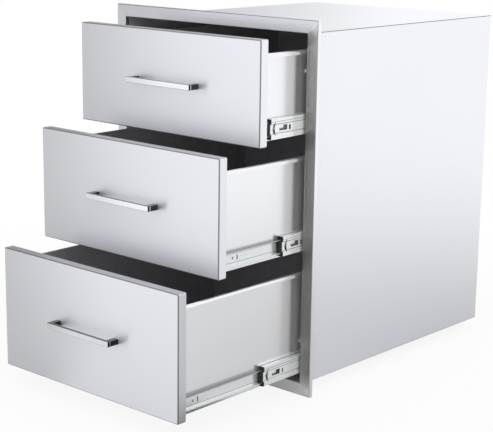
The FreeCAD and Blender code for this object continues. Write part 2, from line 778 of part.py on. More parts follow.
def bumpers(number):
    """The plastic bumpers on the front ends of the middle members."""
    name = f"slide_bumpers_{number}"
    half = cell("middle_half")
    long = cell("bumper_length")
    web = cell("bumper_web")
    block_half = cell("bumper_block_half")
    near = f"({half_opening} - {cell('middle_web_gap')})"
    tongue = cell("tongue_length")
    tongue_half = cell("tongue_half")
    face = [
        (f"-{web}", f"-{half}"),
        ("0", f"-{half}"),
        ("0", f"-{tongue_half}"),
        (f"-{tongue}", f"-{tongue_half}"),
        (f"-{tongue}", tongue_half),
        ("0", tongue_half),
        ("0", half),
        (f"-{web}", half),
        (f"-{web}", block_half),
        (f"-{long}", block_half),
        (f"-{long}", f"-{block_half}"),
        (f"-{web}", f"-{block_half}"),
    ]
    plate = bar(name + "_plate", "YZ_Plane", face, cell("bumper_plate"))
    place(plate, f"{near} - {cell('bumper_plate')}")
    bar_x = f"({box_outer} + {cell('middle_arm_gap')})"
    bar_height = f"({half} - {cell('bumper_bar_inside')})"
    upper = box(name + "_upper", (bar_x, f"-{web}", cell("bumper_bar_inside")),
                (f"{near} - {bar_x}", web, bar_height))
    lower = box(name + "_lower", (bar_x, f"-{web}", f"-{half}"), (f"{near} - {bar_x}", web, bar_height))
    block_x = f"({box_outer} + {cell('slide_sheet')} + {cell('bumper_block_clear')})"
    block = box(name + "_block", (block_x, f"-{long}", f"-{block_half}"),
                (f"{near} - {cell('bumper_plate')} - {block_x}", long, f"2 * {block_half}"))
    whole = doc.addObject("Part::MultiFuse", name + "_right")
    whole.Shapes = [plate, upper, lower, block]
    whole.Refine = True
    place(whole, "0", f"{cell('slide_front')} - {middle_out(number)}", slide_height(number))
    keep(name, pair(name, whole))


def cage_and_balls(node, number, kind, shift):
    """A ball cage with its two rows of balls, on both sides of a drawer."""
    gap = f"({half_opening} - {cell(kind + '_cage_gap')})"
    row = cell(kind + "_ball_row")
    arm_half = cell("cage_arm_half")
    start = f"{cell('slide_front')} + {cell('cage_front')} - {shift}"
    cage = channel(node + "_cage", True, gap, f"({gap} - {cell('cage_sheet')})",
                   f"({half_opening} - {cell(kind + '_cage_reach')})", f"({row} + {arm_half})",
                   f"2 * {arm_half}", cell("cage_length"))
    across = f"({half_opening} - {cell(kind + '_ball_in')})"
    pocket_sketch = circle(cage, node + "_pocket_circle", "XY_Plane", cell("pocket_radius"), across,
                           cell("cage_margin"))
    pocket = cage.newObject("PartDesign::Pocket", node + "_pocket")
    pocket.Profile = pocket_sketch
    pocket.Type = "ThroughAll"
    pocket.Midplane = True
    doc.recompute()
    pattern = cage.newObject("PartDesign::LinearPattern", node + "_pockets")
    pattern.Originals = [pocket]
    pattern.Direction = (pocket_sketch, ["V_Axis"])
    bind(pattern, {"Length": f"{cell('cage_length')} - 2 * {cell('cage_margin')}",
                   "Occurrences": cell("ball_count")})
    cage.Tip = pattern
    place(cage, "0", start, slide_height(number))
    doc.recompute()
    balls = []
    count = int(size("ball_count"))
    step = (size("cage_length") - 2 * size("cage_margin")) / (count - 1)
    at_x = size("frame_width") / 2 - size("rail_width") - size(kind + "_ball_in")
    for index in range(count):
        for side in (1, -1):
            centre = Vector(at_x, size("cage_margin") + index * step, side * size(kind + "_ball_row"))
            balls.append(Part.makeSphere(size("ball_radius"), centre))
    loose = doc.addObject("Part::Feature", node + "_balls")
    loose.Shape = Part.makeCompound(balls)
    place(loose, "0", start, slide_height(number))
    right = doc.addObject("Part::Compound", node + "_right")
    right.Links = [cage, loose]
    keep(node, pair(node, right))


def ball_cages(number):
    """The cages of both running pairs. Each cage travels half as far as the member that rolls on it."""
    inner_travel = f"({opened(number)} - {middle_out(number)})"
    cage_and_balls(f"cage_outer_{number}", number, "outer", f"{middle_out(number)} / 2")
    cage_and_balls(f"cage_inner_{number}", number, "inner", f"{middle_out(number)} - {inner_travel} / 2")


def screw(head_radius, head_height, shank_radius, shank_length, foot, direction):
    """A pan-head screw whose head stands on a foot point and whose shank runs along a direction."""
    head = Part.makeCylinder(head_radius, head_height, foot, -direction)
    shank = Part.makeCylinder(shank_radius, shank_length, foot, direction)
    return head.fuse(shank).removeSplitter()


def drawer_screws(number):
    """The screws of one drawer: two in the handle, three in each inner slide member."""
    pieces = []
    lowered = sum(size(f"front_height_{above}") for above in range(1, number + 1))
    bottom = size("frame_height") - size("rail_width") - size("gap_top") - (number - 1) * size("gap_between")
    bottom -= lowered
    handle_z = bottom + size(f"front_height_{number}") / 2
    slide_z = bottom + size("slide_rise")
    back_y = size("front_depth") - size("frame_depth")
    post_x = size("handle_length") / 2 - size("handle_square") / 2
    handle_shank = size("front_depth") + size("handle_screw_depth")
    opening_half = size("frame_width") / 2 - size("rail_width")
    web_x = opening_half - size("slide_thick") + size("slide_sheet")
    slide_shank = size("slide_sheet") + size("box_sheet") + size("slide_screw_past")
    for sign in (1, -1):
        pieces.append(screw(size("handle_head_radius"), size("handle_head_height"), size("handle_screw_radius"),
                            handle_shank, Vector(sign * post_x, back_y, handle_z), Vector(0, -1, 0)))
        for index in range(int(size("slide_screw_count"))):
            along = size("inner_front") + size("slide_screw_first") + index * size("slide_screw_step")
            pieces.append(screw(size("slide_head_radius"), size("slide_head_height"), size("slide_screw_radius"),
                                slide_shank, Vector(sign * web_x, along, slide_z), Vector(-sign, 0, 0)))
    group = doc.addObject("Part::Feature", f"drawer_screws_{number}")
    group.Shape = Part.makeCompound(pieces)
    place(group, "0", f"-{opened(number)}")
    keep(f"drawer_screws_{number}", group)


for drawer in DRAWERS:
    drawer_front(drawer)
    drawer_box(drawer)
    handle(drawer)
    outer_members(drawer)
    middle_members(drawer)
    inner_members(drawer)
    bumpers(drawer)
    ball_cages(drawer)
    drawer_screws(drawer)

doc.recompute()

# Checks before anything is written
for thing in doc.Objects:
    if "Invalid" in thing.State or "Error" in thing.State:
        raise RuntimeError(f"{thing.Name} is {thing.State}")
for node, thing in nodes.items():
    if thing.Shape.isNull() or not thing.Shape.isValid() or not thing.Shape.Solids:
        raise RuntimeError(f"{node} has no valid solid")

os.makedirs("parts", exist_ok=True)
for node, thing in nodes.items():
    thing.Shape.exportStep(f"parts/{node}.step")
print(f"{len(nodes)} sub-parts written")
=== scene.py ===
"""Looks, stage, light and camera of the outdoor kitchen drawer unit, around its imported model.

Lengths are in metres. X runs across, Y runs back into the housing and Z is up.
"""
import math

import bpy
from mathutils import Matrix, Vector


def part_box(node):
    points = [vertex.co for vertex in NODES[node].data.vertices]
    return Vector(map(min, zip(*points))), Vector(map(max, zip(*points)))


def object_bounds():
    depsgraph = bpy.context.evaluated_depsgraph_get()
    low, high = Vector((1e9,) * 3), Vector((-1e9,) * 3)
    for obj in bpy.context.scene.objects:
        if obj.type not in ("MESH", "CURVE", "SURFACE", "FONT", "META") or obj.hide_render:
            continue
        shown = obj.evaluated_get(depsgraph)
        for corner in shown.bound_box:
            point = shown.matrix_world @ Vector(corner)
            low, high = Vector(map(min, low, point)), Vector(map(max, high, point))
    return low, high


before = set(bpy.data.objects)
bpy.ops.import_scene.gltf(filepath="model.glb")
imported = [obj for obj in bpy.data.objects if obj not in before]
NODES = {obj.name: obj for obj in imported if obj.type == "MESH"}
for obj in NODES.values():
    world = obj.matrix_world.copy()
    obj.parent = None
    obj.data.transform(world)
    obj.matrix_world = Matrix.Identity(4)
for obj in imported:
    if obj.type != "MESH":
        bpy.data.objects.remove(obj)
cad_low, cad_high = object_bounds()

DRAWERS = (1, 2, 3)

# The photograph's view of the object
IMAGE_WIDTH = 493
FOCAL_PIXELS = 1380.6
CENTRE_PIXEL_X = 245.3
SENSOR = 36.0
NEAREST_SEEN = 0.05
FARTHEST_SEEN = 100.0
VIEW_AZIMUTH = math.radians(41.65)
VIEW_ELEVATION = math.radians(12.97)
VIEW_ROLL = math.radians(0.78)
CAMERA_PLACE = Vector((1.7478, -1.8727, 0.8900))

# Colours of the frame's steel
STEEL = (0.925, 0.94, 0.985)
# A darker, warmer copy of the steel for the bottom rail: painted shade
SHADED_LOW_STEEL = (0.83, 0.81, 0.80)
# Painted shade on the bends of the rails, the stiles and the fronts, and on the housing's upper edges
BEND_SHADE_STEEL = (0.28, 0.28, 0.29)
# The right stile: a darker copy of the steel as painted shade, painted shade towards the opening and on its
# bends, and painted highlights at its ends
SHADED_STILE_STEEL = (0.82, 0.81, 0.80)
STILE_INNER_SHADE = (0.55, 0.54, 0.53)
STILE_BEND_SHADE = (0.5, 0.49, 0.48)
STILE_END_HIGHLIGHT = (1.0, 0.99, 0.98)

# Colours of the drawers and of what is on them
# A brighter copy of the steel for the drawers' boxes: painted light
LIT_SIDE_STEEL = (0.965, 0.975, 0.995)
# Painted shade inside the housing and the drawers, as a dull dark finish
INSIDE_SHADE = (0.54, 0.525, 0.54)
HANDLE_STEEL = (0.93, 0.95, 0.98)
# The handles' dark ends, the painted highlight line on them, and painted shade on their ledges and bends
HANDLE_END = (0.05, 0.05, 0.053)
HANDLE_HIGHLIGHT_LINE = (0.8, 0.8, 0.82)
HANDLE_LEDGE_SHADE = (0.12, 0.12, 0.123)
HANDLE_BEND_SHADE = (0.15, 0.15, 0.155)
ZINC = (0.94, 0.96, 0.97)
# Painted shade lines in the slides' grooves
ZINC_GROOVE_SHADE = (0.2, 0.2, 0.21)
ZINC_WALL = (0.08, 0.08, 0.085)
BUMPER_BLACK = (0.010, 0.010, 0.011)

# Painted shade: tones of each front's side returns and of the edges that face up, against the front's own
RETURN_SHADE_TONES = {1: 1.0, 2: 0.97, 3: 0.75}
TOP_EDGE_SHADE_TONE = 0.62

# How rough and how metallic each finish is
FRAME_ROUGHNESS = 0.27
RAIL_METALLIC = 0.70
STILE_METALLIC = 0.95
FRONT_ROUGHNESS = 0.30
FRONT_METALLIC = 0.66
FRONT_SPREAD = 0.8
SIDE_ROUGHNESS = 0.23
SIDE_METALLIC = 0.82
HANDLE_ROUGHNESS = 0.12
ZINC_ROUGHNESS = 0.2
ZINC_METALLIC = 0.55
BUMPER_ROUGHNESS = 0.6
INSIDE_SHADE_ROUGHNESS = 0.7

# The brushed grain: its scales along and across, and how strongly it streaks
GRAIN_ALONG = 2.5
GRAIN_FINE = 5000.0
GRAIN_BROAD = 140.0
# Keeps the grain's direction from lying along any flat face's normal
GRAIN_SKEW = 0.02
RAIL_STREAKS = 0.02
STILE_STREAKS = 0.5
STREAK_GLOSS = 0.3

# Other noise: its scale, the tone that it dims a colour to, and its step of roughness or its bump
CLOUD_SCALE = 5.0
CLOUD_TONE = 0.99
CLOUD_GLOSS = 0.004
SPOT_SCALE = 30.0
SPOT_TONE = 0.98
SPOT_GLOSS_SHARE = -0.03
# Noise in the painted inside shade
INSIDE_SHADE_SCALE = 60.0
INSIDE_SHADE_TONE = 0.75
PLASTIC_SCALE = 1500.0
PLASTIC_TONE = 0.7
PLASTIC_BUMP = 0.1
PLASTIC_BUMP_DEPTH = 0.0001

# The part of a noise's range that a colour or a gloss runs over
NOISE_MIDDLE = (0.3, 0.7)
CLOUD_MIDDLE = (0.25, 0.75)
# How far each seed shifts its noise along X, Y and Z
SEED_STEPS = (1.0, 1.7, 0.6)

# A face is square to an axis from this share of its normal, and a bend from this product of two shares
SQUARE = 0.7
OUTER_SQUARE = 0.9
BEND_LEAN = 0.2
# How far the right stile is shaded as if it leaned outwards
STILE_LEAN = 0.2

# Lengths of the stile's painted end highlights, and places and widths of the painted shade and highlight
# lines
STILE_END_TOP = 0.07
STILE_END_FOOT = 0.05
EDGE_LINE = 0.0011
HANDLE_LINE_FRONT = 0.0045
HANDLE_LINE_BACK = 0.0063
SLIDE_LINE = 0.0008
SLIDE_LINES = (-0.008, 0.008, 0.0125)

# The painted inside shade stops at the sheets' inner faces, give or take a skin
SKIN = 0.0003
SHEET = 0.001
BACK_HEM = 0.0085
SIDE_HEM = 0.0012

# Rounding of sharp edges
FRAME_ROUNDING = 0.0003
FRONT_ROUNDING = 0.0003
HANDLE_ROUNDING = 0.0005
ROUNDING_STEPS = 2
ROUNDING_ANGLE = math.radians(40.0)


def add_camera():
    """The camera that looks along the photograph's view."""
    a, e, r = VIEW_AZIMUTH, VIEW_ELEVATION, VIEW_ROLL
    back = Vector((math.sin(a) * math.cos(e), -math.cos(a) * math.cos(e), math.sin(e)))
    level = Vector((math.cos(a), math.sin(a), 0.0))
    upright = back.cross(level)
    right = level * math.cos(r) + upright * math.sin(r)
    up = upright * math.cos(r) - level * math.sin(r)
    turn = Matrix((right, up, back)).transposed().to_4x4()
    data = bpy.data.cameras.new("camera")
    data.sensor_width = SENSOR
    data.lens = FOCAL_PIXELS * SENSOR / IMAGE_WIDTH
    data.shift_x = (IMAGE_WIDTH / 2 - CENTRE_PIXEL_X) / IMAGE_WIDTH
    data.clip_start = NEAREST_SEEN
    data.clip_end = FARTHEST_SEEN
    camera = bpy.data.objects.new("camera", data)
    camera.matrix_world = Matrix.Translation(CAMERA_PLACE) @ turn
    bpy.context.scene.collection.objects.link(camera)
    bpy.context.scene.camera = camera


add_camera()
bpy.context.scene.view_settings.view_transform = "Standard"


# Shader helpers
def new_material(name):
    """A node material and its principled shader."""
    material = bpy.data.materials.new(name)
    material.use_nodes = True
    shader = material.node_tree.nodes["Principled BSDF"]
    return material, shader


def add(tree, kind, **settings):
    """A node of one kind with some properties set."""
    node = tree.nodes.new(kind)
    for key, value in settings.items():
        setattr(node, key, value)
    return node


def join(tree, source, target):
    """A link from an output socket to an input socket."""
    tree.links.new(source, target)


def math_node(tree, operation, first, second=None):
    """A math node. Each input is a number or an output socket."""
    node = add(tree, "ShaderNodeMath", operation=operation)
    for index, value in enumerate((first, second)):
        if value is None:
            continue
        if isinstance(value, (int, float)):
            node.inputs[index].default_value = value
        else:
            join(tree, value, node.inputs[index])
    return node.outputs[0]


def stretched_noise(tree, scale, detail=3.0, seed=0.0):
    """Noise in the object's own coordinates, with one scale for each axis."""
    place = add(tree, "ShaderNodeTexCoord")
    mapping = add(tree, "ShaderNodeMapping")
    mapping.inputs["Scale"].default_value = scale
    mapping.inputs["Location"].default_value = tuple(seed * step for step in SEED_STEPS)
    noise = add(tree, "ShaderNodeTexNoise")
    noise.inputs["Scale"].default_value = 1.0
    noise.inputs["Detail"].default_value = detail
    join(tree, place.outputs["Object"], mapping.inputs["Vector"])
    join(tree, mapping.outputs["Vector"], noise.inputs["Vector"])
    return noise.outputs["Fac"]


def even_noise(tree, scale, detail=3.0, seed=0.0):
    """Noise with one scale along every axis."""
    return stretched_noise(tree, (scale, scale, scale), detail, seed)


def ramp_between(tree, factor, low, high, from_low=0.0, from_high=1.0):
    """A value mapped from one range to another."""
    node = add(tree, "ShaderNodeMapRange")
    node.inputs["From Min"].default_value = from_low
    node.inputs["From Max"].default_value = from_high
    node.inputs["To Min"].default_value = low
    node.inputs["To Max"].default_value = high
    join(tree, factor, node.inputs["Value"])
    return node.outputs["Result"]


def mix_colour(tree, factor, first, second):
    """A mix of two colours. Each is a colour or an output socket."""
    node = add(tree, "ShaderNodeMix", data_type="RGBA")
    join(tree, factor, node.inputs["Factor"])
    for socket, value in ((node.inputs["A"], first), (node.inputs["B"], second)):
        if isinstance(value, tuple):
            socket.default_value = (*value, 1.0)
        else:
            join(tree, value, socket)
    return node.outputs["Result"]


def dimmed(colour, tone):
    """A colour times a tone."""
    return tuple(value * tone for value in colour)


def vary(tree, shader, noise, middle, colour, dimmest, roughness, gloss):
    """Lets noise vary a shader's colour, down to a tone, and its roughness, by a step either way."""
    share = ramp_between(tree, noise, 0.0, 1.0, *middle)
    join(tree, mix_colour(tree, share, dimmed(colour, dimmest), colour), shader.inputs["Base Color"])
    uneven = ramp_between(tree, noise, roughness + gloss, roughness - gloss, *middle)
    join(tree, uneven, shader.inputs["Roughness"])


# Finishes
def brushed_steel(name, axis, roughness, metallic, spread=0.6, colour=STEEL, streaks=0.01):
    """Steel with a brushed grain along one axis, which draws reflections out across the grain."""
    material, shader = new_material(name)
    tree = material.node_tree
    fine_scale = tuple(GRAIN_ALONG if letter == axis else GRAIN_FINE for letter in "XYZ")
    broad_scale = tuple(GRAIN_ALONG if letter == axis else GRAIN_BROAD for letter in "XYZ")
    fine = math_node(tree, "MULTIPLY", stretched_noise(tree, fine_scale, detail=2.0), 0.5)
    broad = math_node(tree, "MULTIPLY", stretched_noise(tree, broad_scale, detail=4.0, seed=3.0), 0.5)
    streak = math_node(tree, "ADD", fine, broad)
    vary(tree, shader, streak, NOISE_MIDDLE, colour, 1.0 - streaks, roughness, STREAK_GLOSS * streaks)
    surface = add(tree, "ShaderNodeNewGeometry")
    across = add(tree, "ShaderNodeVectorMath", operation="CROSS_PRODUCT")
    join(tree, surface.outputs["Normal"], across.inputs[0])
    across.inputs[1].default_value = tuple(1.0 if letter == axis else GRAIN_SKEW for letter in "XYZ")
    join(tree, across.outputs["Vector"], shader.inputs["Tangent"])
    shader.inputs["Anisotropic"].default_value = spread
    shader.inputs["Metallic"].default_value = metallic
    return material


def satin_steel(name, roughness=0.28, metallic=0.74, colour=STEEL):
    """Mill-finished steel with very faint clouds and no grain."""
    material, shader = new_material(name)
    tree = material.node_tree
    clouds = even_noise(tree, CLOUD_SCALE)
    vary(tree, shader, clouds, CLOUD_MIDDLE, colour, CLOUD_TONE, roughness, CLOUD_GLOSS)
    shader.inputs["Metallic"].default_value = metallic
    return material


def plain_metal(name, colour, roughness, metallic=1.0):
    """Metal with a fine uneven gloss, duller where it is paler."""
    material, shader = new_material(name)
    tree = material.node_tree
    spots = even_noise(tree, SPOT_SCALE)
    vary(tree, shader, spots, NOISE_MIDDLE, colour, SPOT_TONE, roughness, SPOT_GLOSS_SHARE * roughness)
    shader.inputs["Metallic"].default_value = metallic
    return material


def plastic(name, colour, roughness):
    """Moulded plastic with a faint grain."""
    material, shader = new_material(name)
    tree = material.node_tree
    grain = even_noise(tree, PLASTIC_SCALE, detail=2.0)
    bump = add(tree, "ShaderNodeBump")
    bump.inputs["Strength"].default_value = PLASTIC_BUMP
    bump.inputs["Distance"].default_value = PLASTIC_BUMP_DEPTH
    join(tree, grain, bump.inputs["Height"])
    join(tree, bump.outputs["Normal"], shader.inputs["Normal"])
    join(tree, mix_colour(tree, grain, dimmed(colour, PLASTIC_TONE), colour), shader.inputs["Base Color"])
    shader.inputs["Roughness"].default_value = roughness
    return material


# Masks and tints
def tint(material, mask, colour):
    """Gives a material another base colour where a mask is 1."""
    tree = material.node_tree
    socket = tree.nodes["Principled BSDF"].inputs["Base Color"]
    join(tree, mix_colour(tree, mask, socket.links[0].from_socket, colour), socket)


def over(tree, value, limit):
    """1 where a value is over a limit, else 0."""
    return math_node(tree, "GREATER_THAN", value, limit)


def both(tree, first, second):
    """Where two masks meet."""
    return math_node(tree, "MULTIPLY", first, second)


def facing(tree, axis):
    """How much a surface faces along one axis, from -1 to 1."""
    surface = add(tree, "ShaderNodeNewGeometry")
    split = add(tree, "ShaderNodeSeparateXYZ")
    join(tree, surface.outputs["Normal"], split.inputs["Vector"])
    return split.outputs[axis]


def square_to(tree, axis):
    """1 where a surface faces squarely along one axis, either way, else 0."""
    return over(tree, math_node(tree, "ABSOLUTE", facing(tree, axis)), SQUARE)


def between_axes(tree, first, second):
    """1 where a surface leans between two axes, as a bend does, else 0."""
    lean = math_node(tree, "MULTIPLY", facing(tree, first), facing(tree, second))
    return over(tree, math_node(tree, "ABSOLUTE", lean), BEND_LEAN)


def place_along(tree, axis):
    """Where a surface point is along one axis of the object's own coordinates."""
    place = add(tree, "ShaderNodeTexCoord")
    split = add(tree, "ShaderNodeSeparateXYZ")
    join(tree, place.outputs["Object"], split.inputs["Vector"])
    return split.outputs[axis]


def band(tree, axis, low, high):
    """1 between two places along one axis, else 0."""
    place = place_along(tree, axis)
    return both(tree, over(tree, place, low), math_node(tree, "LESS_THAN", place, high))


def ramp_across(tree, axis, start, end):
    """1 at one place along an axis, falling to 0 at another."""
    return ramp_between(tree, place_along(tree, axis), 1.0, 0.0, start, end)


def inside_box(tree, low, high):
    """1 inside a box given by its corners, else 0."""
    mask = both(tree, band(tree, "X", low.x, high.x), band(tree, "Y", low.y, high.y))
    return both(tree, mask, band(tree, "Z", low.z, high.z))


def lean_outwards(material, lean):
    """Shades a material as if its faces leaned a little towards +X, as a flange that bows does."""
    tree = material.node_tree
    surface = add(tree, "ShaderNodeNewGeometry")
    leaned = add(tree, "ShaderNodeVectorMath", operation="ADD")
    join(tree, surface.outputs["Normal"], leaned.inputs[0])
    leaned.inputs[1].default_value = (lean, 0.0, 0.0)
    unit = add(tree, "ShaderNodeVectorMath", operation="NORMALIZE")
    join(tree, leaned.outputs["Vector"], unit.inputs[0])
    join(tree, unit.outputs["Vector"], tree.nodes["Principled BSDF"].inputs["Normal"])


def paint_inside_shade(material, low, high):
    """Paints shade on every face inside a box, as a dull dark finish in place of the steel."""
    tree = material.node_tree
    shader = tree.nodes["Principled BSDF"]
    painted_shade = add(tree, "ShaderNodeBsdfPrincipled")
    grain = even_noise(tree, INSIDE_SHADE_SCALE, detail=4.0, seed=9.0)
    join(tree, mix_colour(tree, grain, dimmed(INSIDE_SHADE, INSIDE_SHADE_TONE), INSIDE_SHADE), painted_shade.inputs["Base Color"])
    painted_shade.inputs["Roughness"].default_value = INSIDE_SHADE_ROUGHNESS
    mix = add(tree, "ShaderNodeMixShader")
    join(tree, inside_box(tree, low, high), mix.inputs["Fac"])
    join(tree, shader.outputs["BSDF"], mix.inputs[1])
    join(tree, painted_shade.outputs["BSDF"], mix.inputs[2])
    join(tree, mix.outputs["Shader"], tree.nodes["Material Output"].inputs["Surface"])


def dress(node, material):
    """Gives a CAD node one material."""
    mesh = NODES[node].data
    mesh.materials.clear()
    mesh.materials.append(material)


def soften(node, width):
    """Rounds a CAD node's sharp edges a little."""
    bevel = NODES[node].modifiers.new("edges", "BEVEL")
    bevel.width = width
    bevel.segments = ROUNDING_STEPS
    bevel.limit_method = "ANGLE"
    bevel.angle_limit = ROUNDING_ANGLE
    bevel.harden_normals = False


# Cabinet
def rail_finish(name, colour):
    """Brushed steel for a rail, with painted shade on its long bends."""
    material = brushed_steel(name, "X", FRAME_ROUGHNESS, RAIL_METALLIC, colour=colour, streaks=RAIL_STREAKS)
    tint(material, between_axes(material.node_tree, "Z", "Y"), BEND_SHADE_STEEL)
    return material


def left_stile_finish():
    """Brushed steel for the left stile, with painted shade on its long bends."""
    material = brushed_steel("steel_grain_upright", "Z", FRAME_ROUGHNESS, STILE_METALLIC)
    tint(material, between_axes(material.node_tree, "X", "Y"), BEND_SHADE_STEEL)
    return material


def right_stile_finish():
    """Streaky steel for the right stile, in a darker copy as painted shade, with painted shade towards the
    opening and on its bends, painted highlights at both ends, and the plain steel on its outer side.
    """
    material = brushed_steel("steel_grain_stile", "Z", FRAME_ROUGHNESS, STILE_METALLIC,
                             colour=SHADED_STILE_STEEL, streaks=STILE_STREAKS)
    tree = material.node_tree
    lean_outwards(material, STILE_LEAN)
    low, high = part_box("frame_right_stile")
    tint(material, ramp_across(tree, "X", low.x, high.x), STILE_INNER_SHADE)
    tint(material, ramp_across(tree, "Z", high.z, high.z - STILE_END_TOP), STILE_END_HIGHLIGHT)
    tint(material, ramp_across(tree, "Z", low.z, low.z + STILE_END_FOOT), STILE_END_HIGHLIGHT)
    tint(material, between_axes(tree, "X", "Y"), STILE_BEND_SHADE)
    tint(material, over(tree, facing(tree, "X"), OUTER_SQUARE), STEEL)
    return material


def housing_finish():
    """Mill-finished steel, with painted shade inside and a painted shade line along the two long upper edges.
    """
    material = satin_steel("steel_mill_finish")
    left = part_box("housing_left_side")[0].x
    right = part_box("housing_right_side")[1].x
    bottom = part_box("housing_bottom")[0].z
    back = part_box("housing_back")[0].y
    top_low, top_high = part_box("housing_top")
    low = Vector((left + SHEET - SKIN, -SHEET, bottom + SHEET - SKIN))
    high = Vector((right - SHEET + SKIN, back + SKIN, top_low.z + SKIN))
    paint_inside_shade(material, low, high)
    tree = material.node_tree
    # A painted shade line along the two long upper edges
    at_left = band(tree, "X", left - SKIN, left + EDGE_LINE)
    at_right = band(tree, "X", right - EDGE_LINE, right + SKIN)
    at_top = band(tree, "Z", top_high.z - EDGE_LINE, top_high.z + SKIN)
    tint(material, both(tree, math_node(tree, "MAXIMUM", at_left, at_right), at_top), BEND_SHADE_STEEL)
    return material


def dress_cabinet():
    """Looks of the frame and the housing."""
    looks = {
        "frame_top_rail": rail_finish("steel_grain_across", STEEL),
        # The bottom rail gets a copy of the steel with painted shade
        "frame_bottom_rail": rail_finish("steel_grain_low_shaded", SHADED_LOW_STEEL),
        "frame_left_stile": left_stile_finish(),
        "frame_right_stile": right_stile_finish(),
    }
    for node, material in looks.items():
        dress(node, material)
        soften(node, FRAME_ROUNDING)
    housing = housing_finish()
    for node in ("housing_left_side", "housing_right_side", "housing_top", "housing_bottom", "housing_back"):
        dress(node, housing)


# Drawers
def front_finish(number):
    """Brushed steel for a front, with painted shade on its bends and on the edges that face up or sideways.
    """
    material = brushed_steel(f"front_steel_{number}", "X", FRONT_ROUGHNESS, FRONT_METALLIC, FRONT_SPREAD)
    tree = material.node_tree
    tint(material, square_to(tree, "X"), dimmed(STEEL, RETURN_SHADE_TONES[number]))
    tint(material, over(tree, facing(tree, "Z"), SQUARE), dimmed(STEEL, TOP_EDGE_SHADE_TONE))
    bends = math_node(tree, "MAXIMUM", between_axes(tree, "X", "Y"), between_axes(tree, "Z", "Y"))
    tint(material, bends, BEND_SHADE_STEEL)
    return material


def handle_finish(number):
    """Polished steel for one handle, with dark ends that carry a painted highlight line behind the bar's
    face, and painted shade on its ledges and bends.
    """
    material = plain_metal(f"handle_steel_{number}", HANDLE_STEEL, HANDLE_ROUGHNESS)
    tree = material.node_tree
    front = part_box(f"handle_{number}")[0].y
    ends = square_to(tree, "X")
    tint(material, ends, HANDLE_END)
    line = band(tree, "Y", front + HANDLE_LINE_FRONT, front + HANDLE_LINE_BACK)
    tint(material, both(tree, ends, line), HANDLE_HIGHLIGHT_LINE)
    tint(material, square_to(tree, "Z"), HANDLE_LEDGE_SHADE)
    tint(material, between_axes(tree, "Y", "Z"), HANDLE_BEND_SHADE)
    return material


def slide_finish(number):
    """Bright zinc for one drawer's slides, with painted shade lines in the grooves, and dark at the members'
    cut ends.
    """
    material = plain_metal(f"zinc_plate_{number}", ZINC, ZINC_ROUGHNESS, ZINC_METALLIC)
    tree = material.node_tree
    low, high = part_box(f"slide_inner_right_{number}")
    middle = (low.z + high.z) / 2
    for offset in SLIDE_LINES:
        line = band(tree, "Z", middle + offset - SLIDE_LINE / 2, middle + offset + SLIDE_LINE / 2)
        tint(material, line, ZINC_GROOVE_SHADE)
    tint(material, square_to(tree, "Y"), ZINC_WALL)
    return material


def drawer_finish(number):
    """Mill-finished steel for one drawer's box, in a brighter copy as painted light, with painted shade
    inside.
    """
    material = satin_steel(f"drawer_steel_{number}", SIDE_ROUGHNESS, SIDE_METALLIC, LIT_SIDE_STEEL)
    floor_low, floor_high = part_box(f"drawer_bottom_{number}")
    side_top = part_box(f"drawer_side_right_{number}")[1].z
    plate_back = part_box(f"backing_plate_{number}")[1].y
    wall_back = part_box(f"drawer_back_{number}")[1].y
    low = Vector((floor_low.x - SKIN, plate_back - SKIN, floor_high.z - SKIN))
    high = Vector((floor_high.x + SKIN, wall_back - BACK_HEM, side_top - SIDE_HEM))
    paint_inside_shade(material, low, high)
    return material


def dress_drawer(number, plate_steel, bumper_plastic):
    """Looks of one drawer and its slides."""
    dress(f"front_pan_{number}", front_finish(number))
    soften(f"front_pan_{number}", FRONT_ROUNDING)
    box_steel = drawer_finish(number)
    for piece in ("drawer_side_left", "drawer_side_right", "drawer_bottom", "drawer_back"):
        dress(f"{piece}_{number}", box_steel)
    dress(f"backing_plate_{number}", plate_steel)
    dress(f"handle_{number}", handle_finish(number))
    soften(f"handle_{number}", HANDLE_ROUNDING)
    zinc = slide_finish(number)
    for piece in ("drawer_screws", "slide_inner_left", "slide_inner_right", "slide_middle_left",
                  "slide_middle_right", "slide_outer", "cage_outer", "cage_inner"):
        dress(f"{piece}_{number}", zinc)
    dress(f"slide_bumpers_{number}", bumper_plastic)


def dress_drawers():
    """Looks of the three drawers."""
    bumper_plastic = plastic("bumper_black", BUMPER_BLACK, BUMPER_ROUGHNESS)
    plate_steel = satin_steel("plate_steel")
    for number in DRAWERS:
        dress_drawer(number, plate_steel, bumper_plastic)


dress_cabinet()
dress_drawers()

# The floor: where it is whole and where it ends, and how white it is to the camera and to metal
FLOOR_MIDDLE = Vector((0.0, 0.1, 0.0))
FLOOR_FULL_RADIUS = 0.70
FLOOR_RADIUS = 1.30
FLOOR_HEIGHT = -0.0005
FLOOR_TONE = 0.90
FLOOR_ROUGHNESS = 0.9
FLOOR_CAMERA_SHARE = 0.88
FLOOR_METAL_SHARE = 0.5
DISC_STEPS = 96

# The grey cloth on the floor that only metal reflects, shifted from the floor's middle
SHADE_SHIFT = (-0.15, 0.42)
SHADE_HEIGHT = -0.0002
SHADE_TONE = 0.1
SHADE_DENSEST = 0.56
SHADE_NEAR = 0.3
SHADE_RADIUS = 2.3
SHADE_FALL = 1.6

# The screens that only metal reflects
SCREEN_RADIUS = 2.4
SCREEN_STEP = math.radians(5.0)
SCREEN_FADE = 0.1


def seen_white(tree, camera_share=1.0, metal_share=1.0):
    """How white the background is to rays from the camera or through glass, from metal and from elsewhere."""
    ray = add(tree, "ShaderNodeLightPath")
    direct = math_node(tree, "MAXIMUM", ray.outputs["Is Camera Ray"], ray.outputs["Is Transmission Ray"])
    direct = math_node(tree, "MULTIPLY", direct, camera_share)
    reflected = math_node(tree, "MULTIPLY", ray.outputs["Is Glossy Ray"], metal_share)
    return math_node(tree, "MAXIMUM", direct, reflected)


